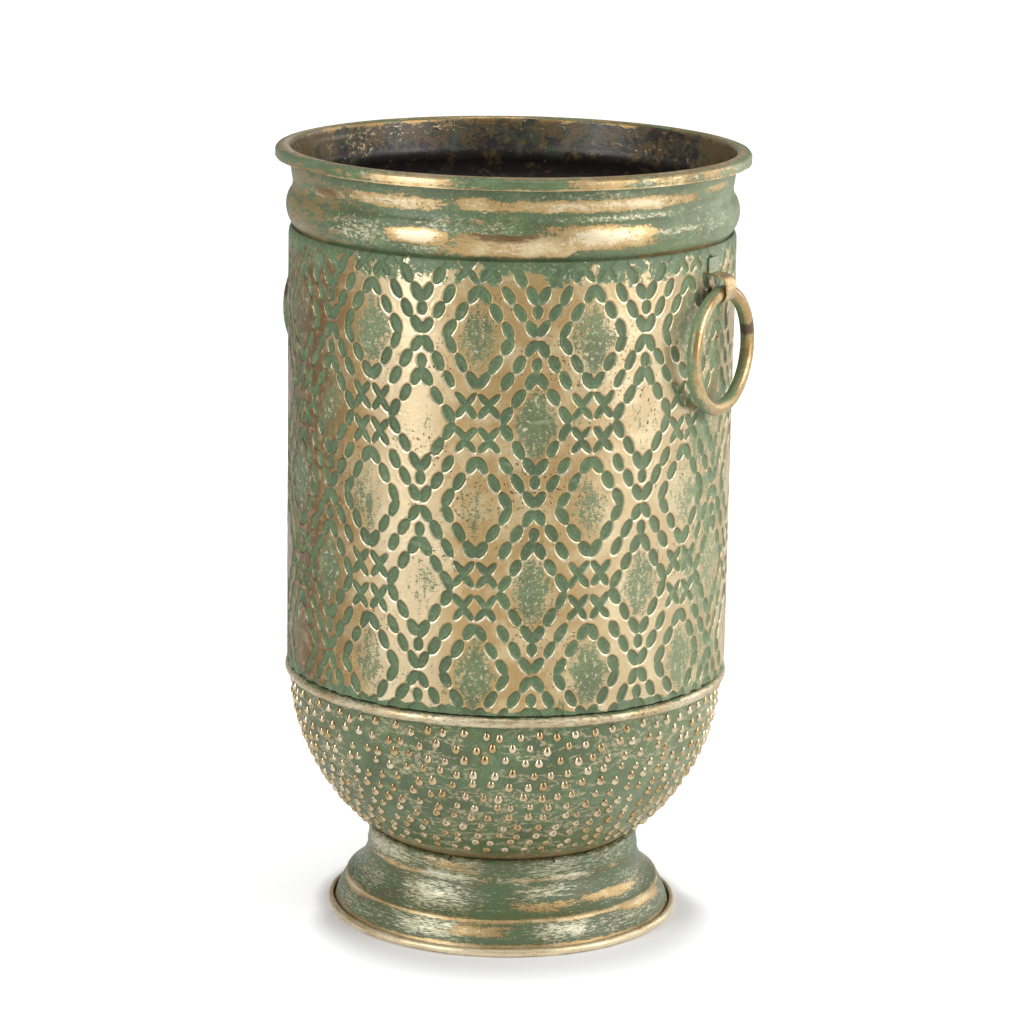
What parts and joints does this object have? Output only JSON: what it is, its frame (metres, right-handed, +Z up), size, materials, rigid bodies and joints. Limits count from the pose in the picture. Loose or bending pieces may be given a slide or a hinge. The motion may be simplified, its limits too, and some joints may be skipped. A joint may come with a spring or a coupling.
{
  "type": "footed planter",
  "caption": "Tall round metal planter on a flared foot, with an embossed wall, a studded bowl, a rolled rim and hanging ring handles.",
  "frame": {"origin": "on the ground under the middle of the planter", "axes": "+Z up along the vessel's axis, +X from the axis towards the right handle, +Y completing the frame"},
  "size_m": [0.2906, 0.279, 0.4651],
  "materials": {
    "collar_paint": "verdigris green paint rubbed with gold",
    "wall_paint": "gold field with green paint in the pressed slots",
    "bowl_paint": "verdigris green paint with gold studs",
    "foot_paint": "green paint rubbed with gold on the ridges",
    "strap_paint": "worn gold paint",
    "ring_paint": "worn gold paint"
  },
  "bodies": {
    "vessel": {"rim_collar": "collar_paint", "wall_sleeve": "wall_paint", "bowl": "bowl_paint", "foot": "foot_paint", "strap_right": "strap_paint", "strap_left": "strap_paint"},
    "right_handle": {"ring_right": "ring_paint"},
    "left_handle": {"ring_left": "ring_paint"}
  },
  "joints": [
    {"name": "right_ring_hinge", "type": "hinge", "parent": "vessel", "child": "right_handle", "pos_m": [0.1392, 0, 0.3918], "axis": [0, -1, 0], "range_deg": [-2.5, 176]},
    {"name": "left_ring_hinge", "type": "hinge", "parent": "vessel", "child": "left_handle", "pos_m": [-0.13877, 0.01092, 0.3918], "axis": [0.0785, 0.9969, 0], "range_deg": [-2.5, 176]}
  ]
}
